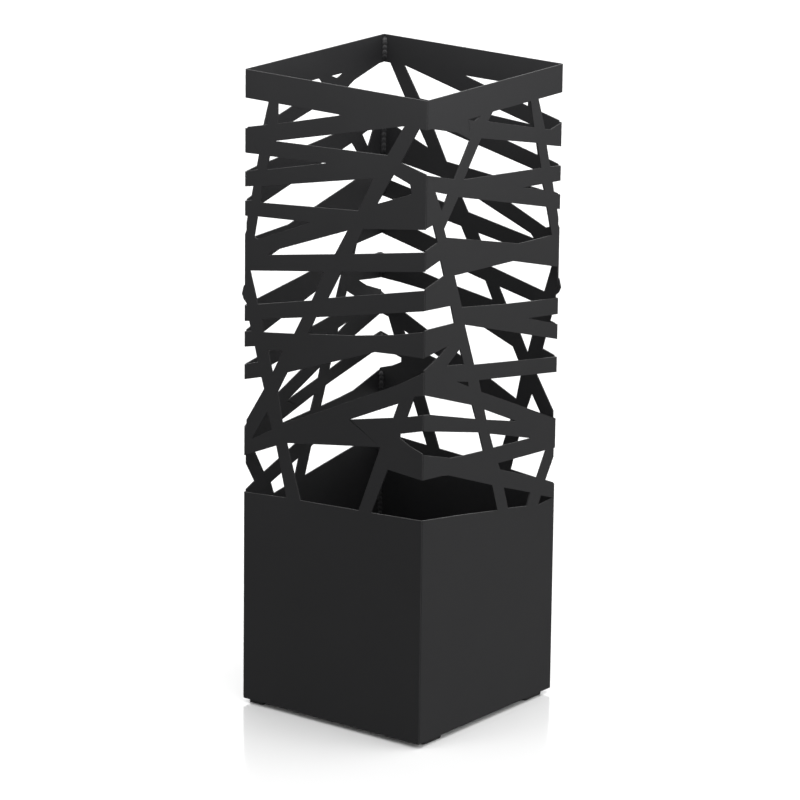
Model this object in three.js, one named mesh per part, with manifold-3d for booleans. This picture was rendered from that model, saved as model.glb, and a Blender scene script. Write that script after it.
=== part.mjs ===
// Umbrella stand: a square tower folded from two identical laser-cut sheets, with a lattice of slanting bars
// above a closed lower box, a welded floor pan, a lift-out drip tray and four rubber pads.
// Millimetres, +Z up, origin at the centre of the footprint on the surface the stand rests on.
import * as THREE from "three";
import { mergeVertices } from "three/addons/utils/BufferGeometryUtils.js";
import Module from "manifold-3d";

// ---- driving dimensions ----------------------------------------------------------------------------------
const width = 170; // outside width of the square tower
const wallHeight = 493; // height of the folded walls
const sheet = 1.2; // thickness of the wall sheet
const bendRadius = 2; // outside radius of the wall fold
const gap = 0.3; // clearance between pieces that touch
const footHeight = 4; // rubber pad, from the surface to the underside of the tower
const footLong = 22.5; // pad length along Y
const footShort = 14; // pad width along X
const footInset = 3; // pad edge in from the side walls
const weldLeg = 3.2; // leg of the fillet weld inside the two seams
const weldInset = 1.5; // each weld stops this far short of an opening
const panSheet = 1.2; // thickness of the floor pan
const panFlange = 15; // height of the pan's upturned flanges
const panRelief = 9; // cut-back of each flange from the corner
const panBend = 2.2; // outside radius of the pan's folds
const tackLength = 14; // weld between a pan flange and its wall
const tackLeg = 2.4;
const trayClearance = 1.8; // air between the tray's rim and the pan flanges
const trayHeight = 22;
const trayWall = 1.8;
const trayFloor = 2;
const trayRimOut = 1.6; // how far the rim stands out of the tray's side
const trayRimThick = 1.6;
const trayCorner = 10; // outside corner radius of the rim
const ribHeight = 2.5; // drip ribs in the tray
const ribWidth = 3;
const ribCount = 5;

// ---- the lattice -----------------------------------------------------------------------------------------
// One half of the tower is a single sheet with a fold. Its first face runs from the seam (0) to the fold and
// its second face from the fold (0) to the other seam. The windows are drawn on faces of this size, and
// follow the tower's width and wall height. A point on a face's own edge is carried past it, so that the
// window runs through the fold or the seam.
const drawnWidth = 170;
const drawnHeight = 493;
const bandLow = 471.3; // underside of the closed band at the top

const seamToFold = [
  // windows that open into the seam, from the top down
  [[0, bandLow], [7, 471], [38, 463], [53.5, 455], [35, 428.7], [0, 438.2]],
  [[0, 397.2], [10, 399], [15.5, 384.6], [0, 380.3]],
  [[0, 365.7], [19.5, 370.7], [24, 357.8], [0, 351.6]],
  [[0, 336], [33, 333.3], [37.5, 319.2], [5, 320.8], [0, 320.3]],
  [[0, 300], [10, 301], [30, 303.5], [20, 297.5], [0, 289.5]],
  [[0, 271.8], [2.5, 271.3], [61.5, 251], [66.3, 239.3], [9, 255.2], [0, 257]],
  [[0, 244.7], [70.5, 227.8], [76.2, 212.3], [52, 214.2], [35, 216], [0, 226.7]],
  [[0, 206.5], [25, 204.5], [33, 203], [88, 182.7], [95.5, 161], [50, 168.3], [0, 175.5]],
  // windows inside the face
  [[51, 470.8], [66, 470.8], [59, 467.8]],
  [[75, 465], [81, bandLow], [128.5, bandLow], [133.5, 450.4]],
  [[46.5, 426.3], [67, 453.7], [138, 437.7], [143.5, 417.5]],
  [[12.3, 423], [27.3, 418.5], [20, 407.3]],
  [[120, 406.8], [146, 404.9], [148.3, 399.8]],
  [[40, 414.3], [152, 386], [159, 362.8], [117, 364.4], [26, 386.5], [23.2, 393.5]],
  [[29, 288.3], [45, 298], [50, 285]],
  [[41, 273.7], [55.5, 270.3], [56.2, 266.5]],
  [[76.7, 244.3], [79.5, 235.8], [118, 226]],
  [[84, 223.8], [103, 218.3], [136.5, 208.5], [89, 211.7]],
  [[95, 198.2], [157, 194.5], [145.7, 175.3], [98, 192.7]],
  [[103, 177.3], [137.5, 165.3], [133.5, 155.5], [109, 159.5]],
  [[147.8, 152.6], [151.3, 159.7], [167, 154.1]],
  // windows that run round the fold
  [[138.5, bandLow], [170, bandLow], [170, 448.5], [155, 445.2], [147.5, 446.5]],
  [[150, 434], [170, 429.2], [170, 414.6], [155, 416.7]],
  [[158.5, 404], [170, 403.1], [170, 392.1], [161, 395]],
  [[165, 382], [170, 381], [170, 361]],
  [[37, 355.6], [110, 352.3], [160, 338.6], [166.8, 337], [168, 320.5], [170, 316.3], [170, 311.7],
    [151, 314.3], [102, 320.8], [46.5, 329.5]],
  [[130, 304], [170, 299.1], [170, 290.9]],
  [[50.5, 315.3], [170, 279], [170, 265.3], [63, 282]],
  [[69, 268.8], [170, 253.4], [170, 216], [130, 234], [72.3, 259]],
  [[170, 193.3], [170, 165], [157, 170.8]],
];

const foldToSeam = [
  // windows that run round the fold, from the top down
  [[0, bandLow], [24, bandLow], [22.5, 454], [0, 448.5]],
  [[0, 429.2], [15.5, 430.2], [13, 418.3], [0, 414.6]],
  [[0, 403.1], [9.6, 405.2], [7.8, 394], [0, 392.1]],
  [[0, 381], [4, 380.8], [0, 361]],
  [[0, 316.3], [2.2, 312], [0, 311.7]],
  [[0, 299.1], [5.3, 300.3], [7.5, 292.8], [0, 290.9]],
  [[0, 279], [10.8, 281.6], [14, 269.7], [0, 265.3]],
  [[0, 253.4], [17.3, 258.6], [20, 250], [0, 216]],
  [[0, 193.3], [32, 207.5], [42, 168.4], [0, 165]],
  // windows inside the face
  [[32, bandLow], [92, bandLow], [32, 456]],
  [[29, 442.4], [149.5, bandLow], [134.5, 447.4]],
  [[24, 430.2], [78, 433], [22, 419.7]],
  [[17, 406.3], [122, 428.3], [108, 401.7], [15.5, 393.4]],
  [[125.5, 409.7], [140.3, 433.8], [155.5, 428.8], [157.5, 422]],
  [[13, 382.4], [64, 386], [13.5, 364.8], [9.8, 366]],
  [[24, 354.5], [27, 358], [98, 385], [86.5, 365.3]],
  [[6, 339.5], [77, 350.5], [65, 326.3], [13.5, 314.7]],
  [[18, 304], [56, 311.6], [48.5, 297.8], [18.7, 293.8]],
  [[23.5, 280.5], [38, 283], [28, 264]],
  [[102, 241], [147, 261.4], [142.5, 249.8]],
  [[8.5, 208.5], [23.3, 232.5], [28, 219.5]],
  [[42, 211.5], [131, 225], [111, 172], [55.5, 169]],
  // windows that open into the seam
  [[163, bandLow], [170, bandLow], [170, 438.2], [147, 443.7]],
  [[113, 388.7], [170, 397.2], [170, 380.3], [102.5, 368]],
  [[93, 353.2], [170, 365.7], [170, 351.6], [80.5, 330.8]],
  [[62, 300], [69, 314], [170, 336], [170, 320.3], [144, 313.4], [104, 306]],
  [[33, 250], [42, 266.5], [125, 297], [150, 299], [170, 300], [170, 289.5], [145, 275], [38, 225.5]],
  [[155.5, 252.8], [162, 269.6], [170, 271.8], [170, 257]],
  [[149, 238.6], [170, 244.7], [170, 226.7], [158, 230.8], [149, 235.3]],
  [[138, 209], [170, 206.5], [170, 175.5], [123, 172.5]],
];

// The tip of one strut lies just past the fold line, so the fold leaves it flat.
const flatTip = [[4, 329], [0, 327], [-1.8, 320.5], [0, 316.3], [4, 312.6]];

// ---- derived sizes ---------------------------------------------------------------------------------------
const half = width / 2;
const innerHalf = half - sheet; // inner face of the walls
const seamStart = sheet + gap; // the first face starts behind the sheet that it meets
const floorZ = footHeight; // underside of walls and pan
const panHalf = innerHalf - gap;
const trayHalf = panHalf - panSheet - trayClearance; // outer edge of the tray's rim
const trayBase = floorZ + panSheet + gap;
const cutPast = 1; // how far a cutter runs past an edge
const cutDeep = bendRadius + 1; // how far it reaches in from the outer face

const colours = {
  powderCoat: new THREE.MeshStandardMaterial({ color: 0x2b2b2d, roughness: 0.62, metalness: 0.1 }),
  weld: new THREE.MeshStandardMaterial({ color: 0x262628, roughness: 0.55, metalness: 0.15 }),
  tray: new THREE.MeshStandardMaterial({ color: 0x1c1c1e, roughness: 0.5, metalness: 0 }),
  rubber: new THREE.MeshStandardMaterial({ color: 0x161616, roughness: 0.85, metalness: 0 }),
};

// ---- solids ----------------------------------------------------------------------------------------------
const wasm = await Module();
wasm.setup();

function solidFrom(geometry) {
  const bare = geometry.index ? geometry.toNonIndexed() : geometry.clone();
  bare.deleteAttribute("normal");
  bare.deleteAttribute("uv");
  const merged = mergeVertices(bare, 1e-4);
  return new wasm.Manifold(
    new wasm.Mesh({
      numProp: 3,
      vertProperties: merged.attributes.position.array,
      triVerts: new Uint32Array(merged.index.array),
    }),
  );
}

function geometryFrom(solid) {
  const mesh = solid.getMesh();
  return new THREE.BufferGeometry()
    .setAttribute("position", new THREE.BufferAttribute(mesh.vertProperties.slice(), 3))
    .setIndex(new THREE.BufferAttribute(mesh.triVerts.slice(), 1));
}

function joined(solids) {
  return solids.reduce((all, one) => all.add(one));
}

function outline(points) {
  return new THREE.Shape(points.map(([x, y]) => new THREE.Vector2(x, y)));
}

function extruded(shape, depth, curveSegments = 4) {
  return new THREE.ExtrudeGeometry(shape, { depth, bevelEnabled: false, curveSegments });
}

function roundedSquare(halfSide, radius) {
  const s = halfSide;
  const shape = new THREE.Shape();
  shape.moveTo(s, -s + radius);
  shape.lineTo(s, s - radius);
  shape.absarc(s - radius, s - radius, radius, 0, Math.PI / 2);
  shape.lineTo(-s + radius, s);
  shape.absarc(-s + radius, s - radius, radius, Math.PI / 2, Math.PI);
  shape.lineTo(-s, -s + radius);
  shape.absarc(-s + radius, -s + radius, radius, Math.PI, 1.5 * Math.PI);
  shape.lineTo(s - radius, -s);
  shape.absarc(s - radius, -s + radius, radius, 1.5 * Math.PI, 2 * Math.PI);
  return shape;
}

function turned(geometry, quarterTurns) {
  return geometry.rotateZ((quarterTurns * Math.PI) / 2);
}

// ---- half shells -----------------------------------------------------------------------------------------
// Places of the two faces of the half whose fold is at (+half, +half). A face drawing has x along the face
// and y up; the drawing plane is put cutDeep behind the outer face and extruded outwards.
const firstFace = new THREE.Matrix4().makeBasis(
  new THREE.Vector3(0, 1, 0),
  new THREE.Vector3(0, 0, 1),
  new THREE.Vector3(1, 0, 0),
);
const secondFace = new THREE.Matrix4().makeBasis(
  new THREE.Vector3(-1, 0, 0),
  new THREE.Vector3(0, 0, 1),
  new THREE.Vector3(0, 1, 0),
);

function onFirstFace(geometry, depthIn) {
  return geometry.applyMatrix4(firstFace).translate(half - depthIn, -half, floorZ);
}

function onSecondFace(geometry, depthIn) {
  return geometry.applyMatrix4(secondFace).translate(half, half - depthIn, floorZ);
}

function drawnToReal([along, up]) {
  return [(along * width) / drawnWidth, (up * wallHeight) / drawnHeight];
}

function windowOutline(points) {
  const past = points.flatMap(([along, up]) => {
    if (along === 0) return [[-cutPast, up]];
    if (along === drawnWidth) return [[drawnWidth + cutPast, up]];
    return [[along, up]];
  });
  return outline(past.map(drawnToReal));
}

function foldedProfile() {
  const inner = bendRadius - sheet;
  const centre = half - bendRadius;
  const shape = new THREE.Shape();
  shape.moveTo(half, -half + seamStart);
  shape.lineTo(half, centre);
  shape.absarc(centre, centre, bendRadius, 0, Math.PI / 2);
  shape.lineTo(-half, half);
  shape.lineTo(-half, innerHalf);
  shape.lineTo(centre, innerHalf);
  shape.absarc(centre, centre, inner, Math.PI / 2, 0, true);
  shape.lineTo(innerHalf, -half + seamStart);
  return shape;
}

function halfShell() {
  const folded = solidFrom(extruded(foldedProfile(), wallHeight, 5).translate(0, 0, floorZ));
  const depth = cutDeep + cutPast;
  const cutters = [
    ...seamToFold.map((w) => onFirstFace(extruded(windowOutline(w), depth), cutDeep)),
    ...foldToSeam.map((w) => onSecondFace(extruded(windowOutline(w), depth), cutDeep)),
  ];
  const cut = folded.subtract(joined(cutters.map(solidFrom)));
  const tip = onSecondFace(extruded(outline(flatTip.map(drawnToReal)), sheet), sheet);
  return geometryFrom(cut.add(solidFrom(tip)));
}

// ---- seam welds ------------------------------------------------------------------------------------------
// Heights along a seam that no window opens, from the bottom up, as [low, high] above the walls' lower edge.
function seamBars() {
  const open = [];
  for (const [windows, edge] of [[seamToFold, 0], [foldToSeam, drawnWidth]])
    for (const points of windows) {
      const heights = points.filter(([along]) => along === edge).map(([, up]) => up);
      if (heights.length) open.push([Math.min(...heights), Math.max(...heights)]);
    }
  open.sort((a, b) => a[0] - b[0]);
  const bars = [];
  let low = 0;
  for (const [from, to] of open) {
    if (from > low) bars.push([low, from]);
    low = Math.max(low, to);
  }
  bars.push([low, drawnHeight]);
  return bars.map((bar) => bar.map((up) => (up * wallHeight) / drawnHeight));
}

// A slightly domed fillet in the corner at (+half, -half).
function filletWeld(low, high) {
  const cornerX = innerHalf - gap;
  const cornerY = -innerHalf + gap;
  const shape = new THREE.Shape();
  shape.moveTo(cornerX, cornerY);
  shape.lineTo(cornerX, cornerY + weldLeg);
  shape.quadraticCurveTo(
    cornerX - weldLeg * 0.65, cornerY + weldLeg * 0.65,
    cornerX - weldLeg, cornerY,
  );
  return extruded(shape, high - low, 3).translate(0, 0, floorZ + low);
}

// ---- floor pan -------------------------------------------------------------------------------------------
function panSide() {
  const centre = panHalf - panBend;
  const profile = new THREE.Shape();
  profile.moveTo(0, 0);
  profile.lineTo(centre, 0);
  profile.absarc(centre, panBend, panBend, -Math.PI / 2, 0);
  profile.lineTo(panHalf, panFlange);
  profile.lineTo(panHalf - panSheet, panFlange);
  profile.lineTo(panHalf - panSheet, panBend);
  profile.absarc(centre, panBend, panBend - panSheet, 0, -Math.PI / 2, true);
  profile.lineTo(0, panSheet);
  const length = 2 * (panHalf - panRelief);
  return extruded(profile, length, 4).rotateX(Math.PI / 2).translate(0, length / 2, floorZ);
}

function floorPan() {
  const plateSide = 2 * (panHalf - panBend);
  const plate = new THREE.BoxGeometry(plateSide, plateSide, panSheet).translate(0, 0, floorZ + panSheet / 2);
  const sides = [0, 1, 2, 3].map((n) => solidFrom(turned(panSide(), n)));
  return geometryFrom(joined([solidFrom(plate), ...sides]));
}

// A short weld that sits on a flange's top edge, against the wall on the +X side.
function flangeTack() {
  const shape = new THREE.Shape();
  const x = innerHalf - gap;
  const z = panFlange + gap;
  shape.moveTo(x, z);
  shape.lineTo(x, z + tackLeg);
  shape.quadraticCurveTo(x - tackLeg * 0.65, z + tackLeg * 0.65, x - panSheet - gap, z);
  return extruded(shape, tackLength, 3).rotateX(Math.PI / 2).translate(0, tackLength / 2, floorZ);
}

// ---- drip tray -------------------------------------------------------------------------------------------
function dripTray() {
  const bodyHalf = trayHalf - trayRimOut;
  const bodyCorner = trayCorner - trayRimOut;
  const body = extruded(roundedSquare(bodyHalf, bodyCorner), trayHeight).translate(0, 0, trayBase);
  const rim = extruded(roundedSquare(trayHalf, trayCorner), trayRimThick)
    .translate(0, 0, trayBase + trayHeight - trayRimThick);
  const inside = extruded(roundedSquare(bodyHalf - trayWall, bodyCorner - trayWall), trayHeight)
    .translate(0, 0, trayBase + trayFloor);
  const tub = joined([body, rim].map(solidFrom)).subtract(solidFrom(inside));
  const ribLength = 2 * (bodyHalf - trayWall) - 24;
  const pitch = (2 * (bodyHalf - trayWall)) / (ribCount + 1);
  const ribs = Array.from({ length: ribCount }, (_, n) => {
    const rib = new THREE.BoxGeometry(ribLength, ribWidth, ribHeight + trayFloor / 2);
    const y = (n - (ribCount - 1) / 2) * pitch;
    return solidFrom(rib.translate(0, y, trayBase + trayFloor + ribHeight / 2 - trayFloor / 4));
  });
  return geometryFrom(joined([tub, ...ribs]));
}

// ---- feet ------------------------------------------------------------------------------------------------
function footPad() {
  const thick = footHeight - gap;
  const corner = 2;
  const x = footShort / 2;
  const y = footLong / 2;
  const shape = new THREE.Shape();
  shape.moveTo(x, -y + corner);
  shape.lineTo(x, y - corner);
  shape.absarc(x - corner, y - corner, corner, 0, Math.PI / 2);
  shape.lineTo(-x + corner, y);
  shape.absarc(-x + corner, y - corner, corner, Math.PI / 2, Math.PI);
  shape.lineTo(-x, -y + corner);
  shape.absarc(-x + corner, -y + corner, corner, Math.PI, 1.5 * Math.PI);
  shape.lineTo(x - corner, -y);
  shape.absarc(x - corner, -y + corner, corner, 1.5 * Math.PI, 2 * Math.PI);
  return extruded(shape, thick, 3);
}

// Stuck on by hand, so each sits a little differently from its wall: [name, side in X, side in Y, inset in Y].
const footPlaces = [
  ["foot_front", 1, -1, 11],
  ["foot_right", 1, 1, 8],
  ["foot_back", -1, 1, 11],
  ["foot_left", -1, -1, 4],
];

// ---- assembly --------------------------------------------------------------------------------------------
const stand = new THREE.Group();

function addNode(parent, name, geometry, material) {
  const mesh = new THREE.Mesh(geometry, material);
  mesh.name = name;
  parent.add(mesh);
  return mesh;
}

const shell = halfShell();
const bars = seamBars();
for (const [side, turn] of [["right", 0], ["left", Math.PI]]) {
  const halfTower = new THREE.Group();
  halfTower.rotation.z = turn;
  stand.add(halfTower);
  addNode(halfTower, `shell_${side}`, shell, colours.powderCoat);
  const seam = side === "right" ? "front" : "back";
  bars.forEach(([low, high], n) => {
    const from = n === 0 ? panFlange + tackLeg + 2 * gap : low + weldInset;
    addNode(halfTower, `seam_weld_${seam}_${n + 1}`, filletWeld(from, high - weldInset), colours.weld);
  });
}

addNode(stand, "floor_pan", floorPan(), colours.powderCoat);
["right", "rear", "left", "near"].forEach((side, n) => {
  addNode(stand, `pan_weld_${side}`, turned(flangeTack(), n), colours.weld);
});
addNode(stand, "drip_tray", dripTray(), colours.tray);
for (const [name, sideX, sideY, insetY] of footPlaces) {
  const pad = addNode(stand, name, footPad(), colours.rubber);
  pad.position.set(
    sideX * (half - footInset - footShort / 2),
    sideY * (half - insetY - footLong / 2),
    0,
  );
}

export default stand;
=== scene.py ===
"""Umbrella stand: the finished pieces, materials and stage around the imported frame. Metres, +Z up."""

import math

import bmesh
import bpy
from bpy.props import FloatProperty, FloatVectorProperty, IntProperty, PointerProperty
from bpy.types import Operator, Panel, PropertyGroup
from mathutils import Matrix, Vector


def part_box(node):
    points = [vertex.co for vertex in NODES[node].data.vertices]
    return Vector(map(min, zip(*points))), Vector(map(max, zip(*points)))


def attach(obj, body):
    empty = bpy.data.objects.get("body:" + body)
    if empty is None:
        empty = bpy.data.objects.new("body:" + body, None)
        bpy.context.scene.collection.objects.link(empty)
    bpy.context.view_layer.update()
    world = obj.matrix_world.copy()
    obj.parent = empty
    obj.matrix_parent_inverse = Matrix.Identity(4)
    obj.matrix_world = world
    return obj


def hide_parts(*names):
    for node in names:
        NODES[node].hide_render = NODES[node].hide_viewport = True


bl_info = {
    "name": "Umbrella Stand",
    "version": (1, 0, 0),
    "blender": (4, 5, 0),
    "location": "3D View > Sidebar > Umbrella Stand",
    "description": "Folded sheet umbrella stand with a slanting-bar lattice, built around its packed frame",
    "category": "Object",
}

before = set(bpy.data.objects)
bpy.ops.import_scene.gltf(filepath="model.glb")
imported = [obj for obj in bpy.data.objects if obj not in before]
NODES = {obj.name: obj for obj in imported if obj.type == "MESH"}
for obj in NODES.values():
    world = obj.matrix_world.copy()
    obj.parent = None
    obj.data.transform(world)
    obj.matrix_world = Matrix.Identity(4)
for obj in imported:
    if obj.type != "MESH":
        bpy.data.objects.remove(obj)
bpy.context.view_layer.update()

STAND = "stand"
TRAY = "tray"
MM = 0.001

SHELL_LOW, SHELL_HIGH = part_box("shell_right")
WALL_LOW = SHELL_LOW.z
WALL_TOP = SHELL_HIGH.z
TRAY_LOW, TRAY_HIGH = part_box("drip_tray")

SHARED_CORNER = 0.02 * MM  # corners this close are one
EDGE_SEGMENTS = 2
EDGE_ANGLE = math.radians(28)  # edges sharper than this are rounded
RIPPLE_STATIONS = 8  # sections along each ripple of a bead
BEAD_ARC_STEPS = 8
TRAY_RIM = 1.6 * MM  # how far the rim stands out of the tray's side
TRAY_FLOOR = 2.0 * MM
TRAY_CORNER = 10 * MM
TRAY_LEAST_CORNER = 2 * MM
RIB_END_GAP = 12 * MM  # floor left free at each end of a rib
# (half width, height above the tray's floor) up one side of a rib, in millimetres
RIB_SECTION = ((1.5, -0.3), (1.5, 1.3), (1.3, 2.0), (0.8, 2.4), (0.25, 2.5))
# (how far in from the pad's side in millimetres, height as a share of the pad's): a slight bulge under load
PAD_SECTION = ((0.7, 0.0), (0.22, 0.04), (0.0, 0.2), (0.0, 0.55), (0.12, 0.85), (0.3, 0.96), (0.6, 1.0))
PAD_CORNER = 2.4  # millimetres, less half of the inset


# ---- settings ------------------------------------------------------------------------------------------


class StandSizes(PropertyGroup):
    """Sizes of the fine detail that the finished pieces add to the frame."""

    cut_edge: FloatProperty(
        name="Cut edge round",
        description="Radius left on the laser-cut edges by the coat",
        default=0.14 * MM,
        min=0.02 * MM,
        unit="LENGTH",
    )
    ripple_pitch: FloatProperty(
        name="Weld ripple pitch",
        description="Distance between ripples along a weld bead",
        default=4.0 * MM,
        min=1 * MM,
        unit="LENGTH",
    )
    ripple_depth: FloatProperty(
        name="Weld ripple depth",
        description="How far a weld bead narrows between its ripples, as a share of its leg",
        default=0.09,
        min=0,
        max=0.6,
        subtype="FACTOR",
    )
    tray_wall: FloatProperty(
        name="Tray wall",
        description="Thickness of the drip tray's moulded wall",
        default=1.8 * MM,
        min=1 * MM,
        unit="LENGTH",
    )
    tray_ribs: IntProperty(
        name="Tray ribs",
        description="Drip ribs across the floor of the tray",
        default=5,
        min=1,
        max=9,
    )


class StandColours(PropertyGroup):
    """Colours of the finishes, as linear values."""

    coat: FloatVectorProperty(
        name="Powder coat",
        description="Main colour of the powder-coated sheet",
        default=(0.0085, 0.0085, 0.0092),
        subtype="COLOR",
        size=3,
        min=0,
        max=1,
    )
    # The lighter coat along edges: partly a thin coat, partly a painted highlight.
    coat_thin_and_highlight: FloatVectorProperty(
        name="Powder coat, thin and highlit",
        description="Colour of the coat where it lies thin over an edge",
        default=(0.028, 0.028, 0.029),
        subtype="COLOR",
        size=3,
        min=0,
        max=1,
    )
    tray: FloatVectorProperty(
        name="Tray",
        description="Colour of the moulded drip tray",
        default=(0.010, 0.010, 0.011),
        subtype="COLOR",
        size=3,
        min=0,
        max=1,
    )
    rubber: FloatVectorProperty(
        name="Rubber",
        description="Colour of the pads",
        default=(0.007, 0.007, 0.007),
        subtype="COLOR",
        size=3,
        min=0,
        max=1,
    )
    # Colour of the upward faces: partly a dusting, partly a painted highlight on upward cut edges.
    dust_and_highlight: FloatVectorProperty(
        name="Dust",
        description="Colour of the light dust on upward faces",
        default=(0.12, 0.115, 0.105),
        subtype="COLOR",
        size=3,
        min=0,
        max=1,
    )
    floor: FloatVectorProperty(
        name="Floor",
        description="Colour of the plain floor",
        default=(0.81, 0.81, 0.81),
        subtype="COLOR",
        size=3,
        min=0,
        max=1,
    )


def sizes():
    return bpy.context.scene.stand_sizes


def colours():
    return bpy.context.scene.stand_colours


# ---- shader node groups --------------------------------------------------------------------------------


def rgba(colour):
    return (*colour, 1.0)


def add_node(tree, kind, links=(), **settings):
    """A node with its inputs set by name and its settings given as keywords.

    links are (input, output) pairs."""
    node = tree.nodes.new(kind)
    inputs = settings.pop("inputs", {})
    for key, value in settings.items():
        setattr(node, key, value)
    for key, value in inputs.items():
        node.inputs[key].default_value = value
    for key, output in links:
        tree.links.new(output, node.inputs[key])
    return node


def new_group(name, inputs, outputs):
    """A shader node group with named sockets, and its input and output nodes."""
    tree = bpy.data.node_groups.new(name, "ShaderNodeTree")
    for socket, kind, default in inputs:
        made = tree.interface.new_socket(socket, in_out="INPUT", socket_type=kind)
        made.default_value = default
    for socket, kind in outputs:
        tree.interface.new_socket(socket, in_out="OUTPUT", socket_type=kind)
    return tree, tree.nodes.new("NodeGroupInput"), tree.nodes.new("NodeGroupOutput")


COLOUR = "NodeSocketColor"
FLOAT = "NodeSocketFloat"


def mix_colour(tree, factor, first, second):
    node = tree.nodes.new("ShaderNodeMix")
    node.data_type = "RGBA"
    for socket, value in ((node.inputs[0], factor), (node.inputs[6], first), (node.inputs[7], second)):
        if isinstance(value, bpy.types.NodeSocket):
            tree.links.new(value, socket)
        else:
            socket.default_value = value
    return node.outputs[2]


def math_node(tree, operation, first, second=None, clamp=False):
    node = tree.nodes.new("ShaderNodeMath")
    node.operation = operation
    node.use_clamp = clamp
    for socket, value in zip(node.inputs, (first, second)):
        if isinstance(value, bpy.types.NodeSocket):
            tree.links.new(value, socket)
        elif value is not None:
            socket.default_value = value
    return node.outputs[0]


def remap(tree, value, low, high, to_low=0.0, to_high=1.0):
    node = add_node(
        tree,
        "ShaderNodeMapRange",
        [("Value", value)],
        inputs={"From Min": low, "From Max": high, "To Min": to_low, "To Max": to_high},
    )
    return node.outputs["Result"]


def noise(tree, scale, detail=2.0, rough=0.5):
    """Noise in the piece's own space. scale is a number or a socket."""
    place = tree.nodes.new("ShaderNodeTexCoord").outputs["Object"]
    linked = isinstance(scale, bpy.types.NodeSocket)
    node = add_node(
        tree,
        "ShaderNodeTexNoise",
        [("Vector", place)],
        inputs={"Scale": 1.0 if linked else scale, "Detail": detail, "Roughness": rough},
    )
    if linked:
        tree.links.new(scale, node.inputs["Scale"])
    return node.outputs["Fac"]


def fine_texture_group():
    """Tight orange peel with broad, faint clouds: for sprayed and moulded skins."""
    tree, given, out = new_group(
        "fine_texture",
        [
            ("Colour", COLOUR, (0.01, 0.01, 0.01, 1)),
            ("Cloud Colour", COLOUR, (0.02, 0.02, 0.02, 1)),
            ("Grain Scale", FLOAT, 1500.0),
            ("Cloud Scale", FLOAT, 14.0),
            ("Roughness Low", FLOAT, 0.5),
            ("Roughness High", FLOAT, 0.65),
        ],
        [("Colour", COLOUR), ("Roughness", FLOAT), ("Height", FLOAT)],
    )
    grain = noise(tree, given.outputs["Grain Scale"], detail=3.0, rough=0.55)
    cloud = noise(tree, given.outputs["Cloud Scale"], detail=4.0, rough=0.6)
    speck = remap(tree, grain, 0.62, 0.78, 0.0, 0.35)
    share = math_node(tree, "ADD", remap(tree, cloud, 0.3, 0.75, 0.0, 0.55), speck, clamp=True)
    tone = mix_colour(tree, share, given.outputs["Colour"], given.outputs["Cloud Colour"])
    spread = math_node(tree, "SUBTRACT", given.outputs["Roughness High"], given.outputs["Roughness Low"])
    blend = remap(tree, math_node(tree, "ADD", grain, cloud), 0.7, 1.3)
    rough = math_node(
        tree, "ADD", given.outputs["Roughness Low"], math_node(tree, "MULTIPLY", spread, blend), clamp=True
    )
    tree.links.new(tone, out.inputs["Colour"])
    tree.links.new(rough, out.inputs["Roughness"])
    tree.links.new(grain, out.inputs["Height"])
    return tree


def edge_wear_and_highlight_group():
    """Mask of the narrow bands along sharp edges, broken up so that they fade in and out. The lighter colour
    laid on them is partly edge wear and partly a painted highlight.
    """
    tree, given, out = new_group(
        "edge_wear_and_highlight",
        [("Radius", FLOAT, 0.0004), ("Break Up Scale", FLOAT, 120.0), ("Amount", FLOAT, 0.6)],
        [("Mask", FLOAT)],
    )
    geometry = tree.nodes.new("ShaderNodeNewGeometry")
    rounded = add_node(tree, "ShaderNodeBevel", [("Radius", given.outputs["Radius"])], samples=4)
    dot = add_node(
        tree,
        "ShaderNodeVectorMath",
        [(0, geometry.outputs["Normal"]), (1, rounded.outputs["Normal"])],
        operation="DOT_PRODUCT",
    )
    edge = remap(tree, dot.outputs["Value"], 0.995, 0.86)
    patches = noise(tree, given.outputs["Break Up Scale"], detail=3.0, rough=0.6)
    broken = remap(tree, patches, 0.35, 0.62, 0.25, 1.0)
    mask = math_node(tree, "MULTIPLY", math_node(tree, "MULTIPLY", edge, broken), given.outputs["Amount"])
    tree.links.new(mask, out.inputs["Mask"])
    return tree


def settled_dust_and_highlight_group():
    """A thin dusting on upward faces that also paints the highlight on upward cut edges: lightens the colour
    and dulls the surface.
    """
    tree, given, out = new_group(
        "settled_dust_and_highlight",
        [
            ("Colour", COLOUR, (0.01, 0.01, 0.01, 1)),
            ("Roughness", FLOAT, 0.6),
            ("Dust Colour", COLOUR, (0.1, 0.1, 0.1, 1)),
            ("Amount", FLOAT, 0.2),
        ],
        [("Colour", COLOUR), ("Roughness", FLOAT)],
    )
    geometry = tree.nodes.new("ShaderNodeNewGeometry")
    facing = add_node(tree, "ShaderNodeSeparateXYZ", [("Vector", geometry.outputs["Normal"])])
    up = remap(tree, facing.outputs["Z"], 0.55, 0.95)
    speckle = remap(tree, noise(tree, 900.0, detail=5.0, rough=0.7), 0.45, 0.7, 0.15, 1.0)
    drift = remap(tree, noise(tree, 30.0, detail=2.0), 0.35, 0.65, 0.35, 1.0)
    share = math_node(tree, "MULTIPLY", math_node(tree, "MULTIPLY", up, speckle), drift)
    share = math_node(tree, "MULTIPLY", share, given.outputs["Amount"], clamp=True)
    tone = mix_colour(tree, share, given.outputs["Colour"], given.outputs["Dust Colour"])
    lift = math_node(tree, "MULTIPLY", share, 0.5)
    rough = math_node(tree, "ADD", given.outputs["Roughness"], lift, clamp=True)
    tree.links.new(tone, out.inputs["Colour"])
    tree.links.new(rough, out.inputs["Roughness"])
    return tree


def shader_group(name):
    makers = {
        "fine_texture": fine_texture_group,
        "edge_wear_and_highlight": edge_wear_and_highlight_group,
        "settled_dust_and_highlight": settled_dust_and_highlight_group,
    }
    return bpy.data.node_groups.get(name) or makers[name]()


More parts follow.
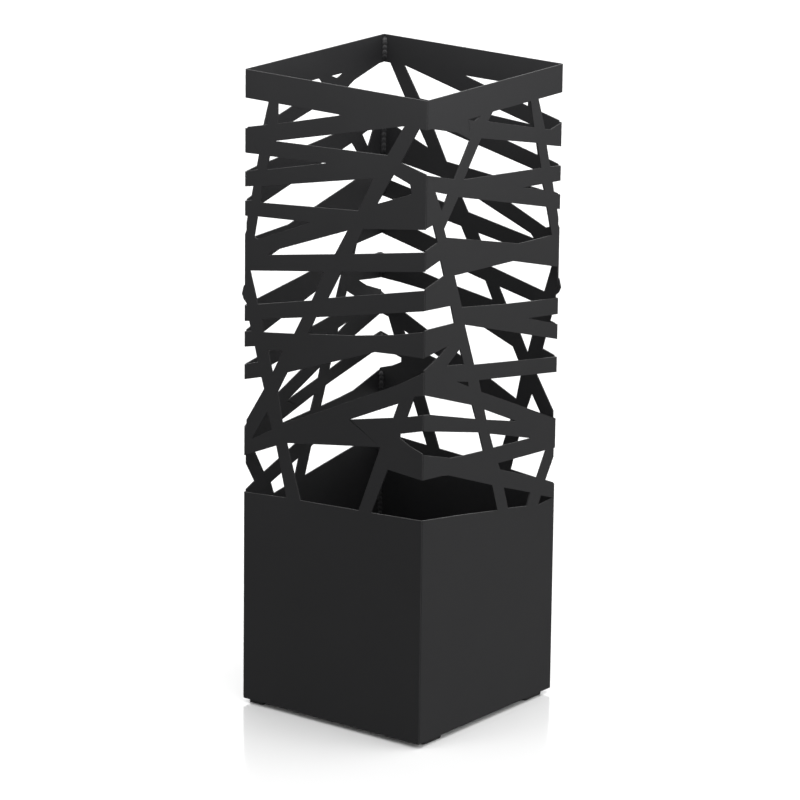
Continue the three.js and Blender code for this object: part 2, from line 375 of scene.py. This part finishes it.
def place_group(tree, name, links=(), **inputs):
    node = tree.nodes.new("ShaderNodeGroup")
    node.node_tree = shader_group(name)
    for key, value in inputs.items():
        node.inputs[key.replace("_", " ")].default_value = value
    for key, output in links:
        tree.links.new(output, node.inputs[key])
    return node


# ---- materials -----------------------------------------------------------------------------------------


def new_material(name):
    material = bpy.data.materials.new(name)
    material.use_nodes = True
    shader = material.node_tree.nodes["Principled BSDF"]
    return material, material.node_tree, shader


def skin_material(name, colour, edge_colour, texture, edge, dust_and_highlight, bump, specular):
    """A coated or moulded skin: fine texture, lighter edges that are partly wear and partly painted
    highlight, a dusting with painted highlight on upward faces, and bump, feeding one Principled shader.

    texture and edge are the values of their node groups, and bump is (strength, distance)."""
    found = bpy.data.materials.get(name)
    if found:
        return found
    material, tree, shader = new_material(name)
    skin = place_group(tree, "fine_texture", Colour=rgba(colour), **texture)
    # Lighter colour along sharp edges: partly edge wear, partly a painted highlight.
    wear_and_highlight_node = place_group(tree, "edge_wear_and_highlight", **edge)
    edged = mix_colour(tree, wear_and_highlight_node.outputs["Mask"], skin.outputs["Colour"], rgba(edge_colour))
    # Lighter, duller upward faces: partly a dusting, partly a painted highlight on upward cut edges.
    dusted_and_highlit = place_group(
        tree,
        "settled_dust_and_highlight",
        [("Colour", edged), ("Roughness", skin.outputs["Roughness"])],
        Dust_Colour=rgba(colours().dust_and_highlight),
        Amount=dust_and_highlight,
    )
    strength, distance = bump
    relief = add_node(
        tree,
        "ShaderNodeBump",
        [("Height", skin.outputs["Height"])],
        inputs={"Strength": strength, "Distance": distance},
    )
    tree.links.new(dusted_and_highlit.outputs["Colour"], shader.inputs["Base Color"])
    tree.links.new(dusted_and_highlit.outputs["Roughness"], shader.inputs["Roughness"])
    tree.links.new(relief.outputs["Normal"], shader.inputs["Normal"])
    shader.inputs["Specular IOR Level"].default_value = specular
    return material


def powder_coat():
    c = colours()
    return skin_material(
        "powder_coat",
        c.coat,
        # Edge colour: partly a thin coat, partly a painted highlight.
        c.coat_thin_and_highlight,
        {
            "Cloud_Colour": rgba([1.5 * v for v in c.coat]),
            "Grain_Scale": 1400.0,
            "Cloud_Scale": 11.0,
            "Roughness_Low": 0.46,
            "Roughness_High": 0.60,
        },
        {"Radius": 0.35 * MM, "Break_Up_Scale": 90.0, "Amount": 0.25},
        0.16,
        (0.28, 0.05 * MM),
        0.3,
    )


def weld_coat():
    c = colours()
    return skin_material(
        "weld_coat",
        # Edge colour: partly a thin coat, partly a painted highlight.
        c.coat,
        c.coat_thin_and_highlight,
        {
            "Cloud_Colour": rgba([1.8 * v for v in c.coat]),
            "Grain_Scale": 900.0,
            "Cloud_Scale": 60.0,
            "Roughness_Low": 0.40,
            "Roughness_High": 0.56,
        },
        {"Radius": 0.3 * MM, "Break_Up_Scale": 200.0, "Amount": 0.15},
        0.03,
        (0.3, 0.06 * MM),
        0.35,
    )


def tray_plastic():
    c = colours()
    return skin_material(
        "tray_plastic",
        c.tray,
        # Lighter edge colour: partly edge wear, partly a painted highlight.
        [2.2 * v for v in c.tray],
        {
            "Cloud_Colour": rgba([1.4 * v for v in c.tray]),
            "Grain_Scale": 2200.0,
            "Cloud_Scale": 20.0,
            "Roughness_Low": 0.38,
            "Roughness_High": 0.5,
        },
        {"Radius": 0.4 * MM, "Break_Up_Scale": 140.0, "Amount": 0.35},
        0.22,
        (0.4, 0.06 * MM),
        0.35,
    )


def pad_rubber():
    c = colours()
    return skin_material(
        "pad_rubber",
        c.rubber,
        # Lighter edge colour: partly edge wear, partly a painted highlight.
        [2.0 * v for v in c.rubber],
        {
            "Cloud_Colour": rgba([1.8 * v for v in c.rubber]),
            "Grain_Scale": 2600.0,
            "Cloud_Scale": 70.0,
            "Roughness_Low": 0.72,
            "Roughness_High": 0.88,
        },
        {"Radius": 0.4 * MM, "Break_Up_Scale": 260.0, "Amount": 0.3},
        0.08,
        (0.5, 0.08 * MM),
        0.3,
    )


def floor_finish():
    """Smooth pale floor with a soft, short reflection. It shows paler than the light that it throws back."""
    material, tree, shader = new_material("pale_floor")
    patches = remap(tree, noise(tree, 3.0, detail=3.0), 0.3, 0.7)
    base = colours().floor
    tone = mix_colour(tree, patches, rgba(base), rgba([0.99 * v for v in base]))
    bounce = rgba([FLOOR_BOUNCE * v for v in base])
    seen = tree.nodes.new("ShaderNodeLightPath").outputs["Is Camera Ray"]
    tree.links.new(mix_colour(tree, seen, bounce, tone), shader.inputs["Base Color"])
    rough = remap(tree, noise(tree, 9.0, detail=2.0), 0.3, 0.7, 0.11, 0.15)
    tree.links.new(rough, shader.inputs["Roughness"])
    shader.inputs["Specular IOR Level"].default_value = 0.42
    return material


# ---- mesh helpers --------------------------------------------------------------------------------------


def object_from(bm, name):
    mesh = bpy.data.meshes.new(name)
    bmesh.ops.recalc_face_normals(bm, faces=bm.faces)
    bm.to_mesh(mesh)
    bm.free()
    made = bpy.data.objects.new(name, mesh)
    bpy.context.scene.collection.objects.link(made)
    return made


def smooth_by_angle(made, degrees):
    """Smooth shading that stays crisp on edges sharper than the angle."""
    mesh = made.data
    mesh.shade_smooth()
    mesh.set_sharp_from_angle(angle=math.radians(degrees))


def settle(made, material, slot, body, *nodes):
    """Gives a finished piece its material and the body it rides on, and hides the CAD nodes it stands for.
    """
    made.data.materials.clear()
    made.data.materials.append(material)
    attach(made, body)
    if nodes:
        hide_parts(*nodes)
    return made


def tidy_copy(name, node):
    """A new piece with a CAD node's shape and its shared corners joined."""
    bm = bmesh.new()
    bm.from_mesh(NODES[node].data)
    bmesh.ops.remove_doubles(bm, verts=bm.verts, dist=SHARED_CORNER)
    return object_from(bm, name)


def soften(made, node):
    """Rounds every sharp edge with a real bevel, held inside the node's box, and evens out the shading."""
    bevel = made.modifiers.new("soft_edges", "BEVEL")
    bevel.width = sizes().cut_edge
    bevel.segments = EDGE_SEGMENTS
    bevel.limit_method = "ANGLE"
    bevel.angle_limit = EDGE_ANGLE
    bevel.use_clamp_overlap = False
    bevel.miter_outer = "MITER_ARC"
    rounded = made.evaluated_get(bpy.context.evaluated_depsgraph_get())
    made.data = bpy.data.meshes.new_from_object(rounded)
    made.modifiers.clear()
    low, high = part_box(node)
    for v in made.data.vertices:
        v.co = [min(max(v.co[k], low[k]), high[k]) for k in range(3)]
    even = made.modifiers.new("even_shading", "WEIGHTED_NORMAL")
    even.keep_sharp = True
    even.weight = 80
    made.data.shade_smooth()


def closed_loft(bm, rings):
    """Joins closed rings of vertices, each as long as the next, with faces, and caps both ends."""
    for low, high in zip(rings, rings[1:]):
        count = len(low)
        for i in range(count):
            j = (i + 1) % count
            bm.faces.new((low[i], low[j], high[j], high[i]))
    bm.faces.new(rings[0])
    bm.faces.new(rings[-1])


def rounded_rectangle(half_x, half_y, radius, steps=7):
    """Corner-rounded rectangle, anticlockwise, as (x, y) points."""
    points = []
    for turn, (sx, sy) in enumerate(((1, 1), (-1, 1), (-1, -1), (1, -1))):
        for step in range(steps + 1):
            angle = math.radians(90 * (turn + step / steps))
            points.append(
                (
                    sx * (half_x - radius) + radius * math.cos(angle),
                    sy * (half_y - radius) + radius * math.sin(angle),
                )
            )
    return points


# ---- pieces --------------------------------------------------------------------------------------------


class PieceOperator:
    """Options that all the piece operators share."""

    bl_options = {"REGISTER", "UNDO"}


class STAND_OT_shells(PieceOperator, Operator):
    """Two folded sheets with softened cut edges"""

    bl_idname = "umbrella_stand.shells"
    bl_label = "Folded Sheets"

    def execute(self, context):
        for side in ("right", "left"):
            node = f"shell_{side}"
            sheet = tidy_copy(f"folded_sheet_{side}", node)
            soften(sheet, node)
            settle(sheet, powder_coat(), "powder_coated_steel", STAND, node)
        return {"FINISHED"}


def bead(name, start, along, length, leg_a, leg_b, leg):
    """A rippled weld bead from start, lying in the corner between the directions leg_a and leg_b."""
    bm = bmesh.new()
    pitch = sizes().ripple_pitch
    count = max(3, round(length / pitch))
    stations = count * RIPPLE_STATIONS
    rings = []
    for i in range(stations + 1):
        t = i / stations
        phase = (t * count) % 1.0
        # Each ripple rises quickly and tails off, as a stack of frozen puddles does.
        swell = 1.0 - sizes().ripple_depth * (1.0 - math.sin(math.pi * min(1.0, phase * 1.15)) ** 0.6)
        end = min(1.0, min(t, 1 - t) * length / (1.4 * leg))
        taper = math.sqrt(1 - (1 - end) ** 2) * 0.75 + 0.25
        size = leg * swell * taper
        centre = start + along * (t * length)
        # The crown of each ripple runs ahead of its feet, but not at the ends of the bead.
        lead = 0.35 * pitch if 0 < i < stations - RIPPLE_STATIONS and t < 0.97 else 0.0
        ring = [bm.verts.new(centre)]
        for step in range(BEAD_ARC_STEPS + 1):
            angle = math.pi / 2 * step / BEAD_ARC_STEPS
            bulge = size * (0.80 + 0.20 * abs(math.cos(2 * angle)))
            ahead = along * (math.sin(2 * angle) * lead)
            side = leg_a * (bulge * math.cos(angle)) + leg_b * (bulge * math.sin(angle))
            ring.append(bm.verts.new(centre + side + ahead))
        rings.append(ring)
    closed_loft(bm, rings)
    made = object_from(bm, name)
    smooth_by_angle(made, 60)
    return made


class STAND_OT_seam_welds(PieceOperator, Operator):
    """Rippled beads inside the two seams, one to each bar of the lattice that reaches the seam"""

    bl_idname = "umbrella_stand.seam_welds"
    bl_label = "Seam Welds"

    def execute(self, context):
        for seam, sign in (("front", 1), ("back", -1)):
            names = sorted(n for n in NODES if n.startswith(f"seam_weld_{seam}_"))
            if not names:
                raise RuntimeError(f"the frame has no {seam} seam welds")
            for node in names:
                low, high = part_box(node)
                corner = Vector((high.x if sign > 0 else low.x, low.y if sign > 0 else high.y, low.z))
                made = bead(
                    f"seam_bead_{seam}_{node.rsplit('_', 1)[1]}",
                    corner,
                    Vector((0, 0, 1)),
                    high.z - low.z,
                    Vector((-sign, 0, 0)),
                    Vector((0, sign, 0)),
                    (high.x - low.x) * 0.98,
                )
                settle(made, weld_coat(), "coated_weld", STAND, node)
        return {"FINISHED"}


class STAND_OT_floor_pan(PieceOperator, Operator):
    """Pressed floor pan with softened flange edges"""

    bl_idname = "umbrella_stand.floor_pan"
    bl_label = "Floor Pan"

    def execute(self, context):
        pan = tidy_copy("pressed_floor_pan", "floor_pan")
        soften(pan, "floor_pan")
        settle(pan, powder_coat(), "powder_coated_steel", STAND, "floor_pan")
        return {"FINISHED"}


class STAND_OT_pan_welds(PieceOperator, Operator):
    """Short rippled tacks along the top of the pan's flanges"""

    bl_idname = "umbrella_stand.pan_welds"
    bl_label = "Pan Welds"

    def execute(self, context):
        outward = {"right": (1, 0), "rear": (0, 1), "left": (-1, 0), "near": (0, -1)}
        for side, (x, y) in outward.items():
            node = f"pan_weld_{side}"
            low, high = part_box(node)
            out = Vector((x, y, 0))
            along = Vector((-y, x, 0))
            span = high - low
            length = abs(span.dot(along))
            middle = (low + high) / 2
            start = middle + out * (abs(span.dot(out)) / 2) - along * (length / 2)
            start.z = low.z
            leg = min(span.z, abs(span.dot(out))) * 0.98
            made = bead(f"pan_tack_{side}", start, along, length, -out, Vector((0, 0, 1)), leg)
            settle(made, weld_coat(), "coated_weld", STAND, node)
        return {"FINISHED"}


def tray_profile(half, wall, height):
    """Section of the tray's side from the edge of its underside, over the rim, to the floor inside."""
    floor = TRAY_FLOOR
    body = half - TRAY_RIM
    return [
        (body - 3.0 * MM, 0.0),
        (body - 1.6 * MM, 0.25 * MM),
        (body - 0.7 * MM, 0.9 * MM),
        (body - 0.3 * MM, 2.2 * MM),
        (body, height - 2.6 * MM),
        (body + 0.35 * MM, height - 1.95 * MM),
        (half - 0.35 * MM, height - 1.75 * MM),
        (half, height - 1.35 * MM),
        (half, height - 0.6 * MM),
        (half - 0.45 * MM, height - 0.1 * MM),
        (half - 1.1 * MM, height),
        (body - wall + 0.5 * MM, height),
        (body - wall, height - 0.5 * MM),
        (body - wall - 0.3 * MM, floor + 2.6 * MM),
        (body - wall - 0.8 * MM, floor + 1.1 * MM),
        (body - wall - 1.8 * MM, floor + 0.25 * MM),
        (body - wall - 3.0 * MM, floor),
    ]


def add_ribs(bm, floor_z, inner):
    """Drip ribs across the tray's floor, each a closed bar with a rounded crown and rounded ends."""
    count = sizes().tray_ribs
    pitch = 2 * inner / (count + 1)
    half_length = inner - RIB_END_GAP
    half_width = RIB_SECTION[0][0]
    for n in range(count):
        y = (n - (count - 1) / 2) * pitch
        rings = []
        for reach, z in RIB_SECTION:
            grow = (reach - half_width) * MM
            outline = rounded_rectangle(half_length + grow, reach * MM, reach * MM * 0.96, steps=4)
            rings.append([bm.verts.new((px, y + py, floor_z + z * MM)) for px, py in outline])
        closed_loft(bm, rings)


class STAND_OT_drip_tray(PieceOperator, Operator):
    """Moulded drip tray with a rolled rim and drip ribs"""

    bl_idname = "umbrella_stand.drip_tray"
    bl_label = "Drip Tray"

    def execute(self, context):
        bm = bmesh.new()
        half = TRAY_HIGH.x
        height = TRAY_HIGH.z - TRAY_LOW.z
        rings = []
        for reach, z in tray_profile(half, sizes().tray_wall, height):
            radius = max(TRAY_LEAST_CORNER, TRAY_CORNER - (half - reach))
            outline = rounded_rectangle(reach, reach, radius)
            rings.append([bm.verts.new((x, y, TRAY_LOW.z + z)) for x, y in outline])
        closed_loft(bm, rings)
        add_ribs(bm, TRAY_LOW.z + TRAY_FLOOR, half - TRAY_RIM - sizes().tray_wall)
        tray = object_from(bm, "moulded_drip_tray")
        smooth_by_angle(tray, 40)
        settle(tray, tray_plastic(), "tray_plastic", TRAY, "drip_tray")
        return {"FINISHED"}


def rubber_pad(name, low, high):
    """One pad that fills the box from low to high."""
    bm = bmesh.new()
    middle = (low + high) / 2
    half = (high - low) / 2
    rings = []
    for inset, share in PAD_SECTION:
        reach_x, reach_y = half.x - inset * MM, half.y - inset * MM
        shape = rounded_rectangle(reach_x, reach_y, (PAD_CORNER - inset / 2) * MM, steps=5)
        z = low.z + share * (high.z - low.z)
        rings.append([bm.verts.new((middle.x + x, middle.y + y, z)) for x, y in shape])
    closed_loft(bm, rings)
    made = object_from(bm, name)
    smooth_by_angle(made, 50)
    return made


class STAND_OT_pads(PieceOperator, Operator):
    """Four rubber pads with rounded, slightly bulged sides"""

    bl_idname = "umbrella_stand.pads"
    bl_label = "Rubber Pads"

    def execute(self, context):
        for place in ("front", "right", "back", "left"):
            node = f"foot_{place}"
            pad = rubber_pad(f"rubber_pad_{place}", *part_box(node))
            settle(pad, pad_rubber(), "pad_rubber", STAND, node)
        return {"FINISHED"}


# ---- stage ---------------------------------------------------------------------------------------------

AZIMUTH = math.radians(37.245)
ELEVATION = math.radians(15.713)
ROLL = math.radians(0.694)
LENS = 225.93  # millimetres, on a sensor 36 mm wide
SHIFT = (-0.0013, -0.0191)
DISTANCE = 3.808
AIM = Vector((0, 0, (WALL_LOW + WALL_TOP) / 2))
FLOOR_RADIUS = 30.0
FLOOR_BOUNCE = 0.2  # share of its colour with which the floor lights the stand
EVEN_LIGHT = 0.15
# (direction, cosine where the glow starts, cosine where it is full, strength)
SIDE_GLOWS = (
    ((0.9, 0.3, 0.25), 0.2, 0.95, 2.1),
    ((-0.3, -0.9, 0.25), 0.2, 0.95, 0.95),
    ((-0.6, 0.8, 0.15), 0.6, 0.97, 2.2),
)
# (name, azimuth and elevation in degrees, distance, side of the square panel, watts)
SOFTBOXES = (
    ("left_softbox", -5, 42, 0.62, 0.35, 1.8),
    ("right_softbox", 80, 60, 0.5, 0.3, 1.6),
)


def view_axes(azimuth, elevation, roll):
    """Right, up and back directions of a camera that looks at the object from there."""
    back = Vector(
        (
            math.sin(azimuth) * math.cos(elevation),
            -math.cos(azimuth) * math.cos(elevation),
            math.sin(elevation),
        )
    )
    right = Vector((math.cos(azimuth), math.sin(azimuth), 0))
    up = back.cross(right)
    rolled_right = right * math.cos(roll) + up * math.sin(roll)
    rolled_up = up * math.cos(roll) - right * math.sin(roll)
    return rolled_right, rolled_up, back


def add_camera():
    right, up, back = view_axes(AZIMUTH, ELEVATION, ROLL)
    data = bpy.data.cameras.new("camera")
    data.lens = LENS
    data.sensor_width = 36
    data.shift_x, data.shift_y = SHIFT
    data.clip_start = 0.05
    data.clip_end = 100
    camera = bpy.data.objects.new("camera", data)
    placed = Matrix((right, up, back)).transposed().to_4x4()
    placed.translation = AIM + back * DISTANCE
    camera.matrix_world = placed
    bpy.context.scene.collection.objects.link(camera)
    bpy.context.scene.camera = camera


def add_softbox(name, azimuth, elevation, distance, side, power):
    """Square softbox that faces the middle of the walls."""
    data = bpy.data.lights.new(name, "AREA")
    data.size = side
    data.energy = power
    lamp = bpy.data.objects.new(name, data)
    right, up, back = view_axes(math.radians(azimuth), math.radians(elevation), 0)
    placed = Matrix((right, up, back)).transposed().to_4x4()
    placed.translation = AIM + back * distance
    lamp.matrix_world = placed
    bpy.context.scene.collection.objects.link(lamp)


def add_floor():
    bm = bmesh.new()
    bmesh.ops.create_circle(bm, cap_ends=True, segments=96, radius=FLOOR_RADIUS)
    for v in bm.verts:
        v.co.z = 0.0
    floor = object_from(bm, "floor")
    if floor.data.polygons[0].normal.z < 0:
        floor.data.flip_normals()
    floor.data.materials.append(floor_finish())


def add_sky(base, glows):
    """White surround with a broad soft light centred on each glow's direction, over an even base."""
    world = bpy.data.worlds.new("studio")
    world.use_nodes = True
    tree = world.node_tree
    background = tree.nodes["Background"]
    direction = tree.nodes.new("ShaderNodeTexCoord").outputs["Generated"]
    cast = base
    for towards, low, high, strength in glows:
        cosine = add_node(
            tree,
            "ShaderNodeVectorMath",
            [(0, direction)],
            operation="DOT_PRODUCT",
            inputs={1: Vector(towards).normalized()},
        )
        glow = remap(tree, cosine.outputs["Value"], low, high, 0.0, strength)
        cast = math_node(tree, "ADD", glow, cast)
    path = tree.nodes.new("ShaderNodeLightPath")
    seen = tree.nodes.new("ShaderNodeMix")
    tree.links.new(path.outputs["Is Camera Ray"], seen.inputs[0])
    tree.links.new(cast, seen.inputs[2])
    seen.inputs[3].default_value = 1.0
    background.inputs["Color"].default_value = (1, 1, 1, 1)
    tree.links.new(seen.outputs[0], background.inputs["Strength"])
    bpy.context.scene.world = world


class STAND_OT_stage(PieceOperator, Operator):
    """Pale floor, soft studio light and camera"""

    bl_idname = "umbrella_stand.stage"
    bl_label = "Stage"

    def execute(self, context):
        context.scene.view_settings.view_transform = "Standard"
        add_camera()
        add_floor()
        add_sky(EVEN_LIGHT, SIDE_GLOWS)
        for softbox in SOFTBOXES:
            add_softbox(*softbox)
        return {"FINISHED"}


# ---- panel and registration ----------------------------------------------------------------------------

OPERATORS = (
    STAND_OT_shells,
    STAND_OT_seam_welds,
    STAND_OT_floor_pan,
    STAND_OT_pan_welds,
    STAND_OT_drip_tray,
    STAND_OT_pads,
    STAND_OT_stage,
)


class STAND_PT_panel(Panel):
    """Lists the pieces of the stand and their settings"""

    bl_idname = "STAND_PT_panel"
    bl_label = "Umbrella Stand"
    bl_space_type = "VIEW_3D"
    bl_region_type = "UI"
    bl_category = "Umbrella Stand"

    def draw(self, context):
        layout = self.layout
        for settings in (context.scene.stand_sizes, context.scene.stand_colours):
            box = layout.box()
            for name in settings.__annotations__:
                box.prop(settings, name)
        for operator in OPERATORS:
            layout.operator(operator.bl_idname, text=operator.bl_label)


CLASSES = (StandSizes, StandColours, *OPERATORS, STAND_PT_panel)


def register():
    for cls in CLASSES:
        bpy.utils.register_class(cls)
    bpy.types.Scene.stand_sizes = PointerProperty(type=StandSizes)
    bpy.types.Scene.stand_colours = PointerProperty(type=StandColours)


def unregister():
    del bpy.types.Scene.stand_colours
    del bpy.types.Scene.stand_sizes
    for cls in reversed(CLASSES):
        bpy.utils.unregister_class(cls)


def main():
    register()
    bpy.ops.umbrella_stand.shells()
    bpy.ops.umbrella_stand.seam_welds()
    bpy.ops.umbrella_stand.floor_pan()
    bpy.ops.umbrella_stand.pan_welds()
    bpy.ops.umbrella_stand.drip_tray()
    bpy.ops.umbrella_stand.pads()
    bpy.ops.umbrella_stand.stage()


if __name__ == "__main__":
    main()
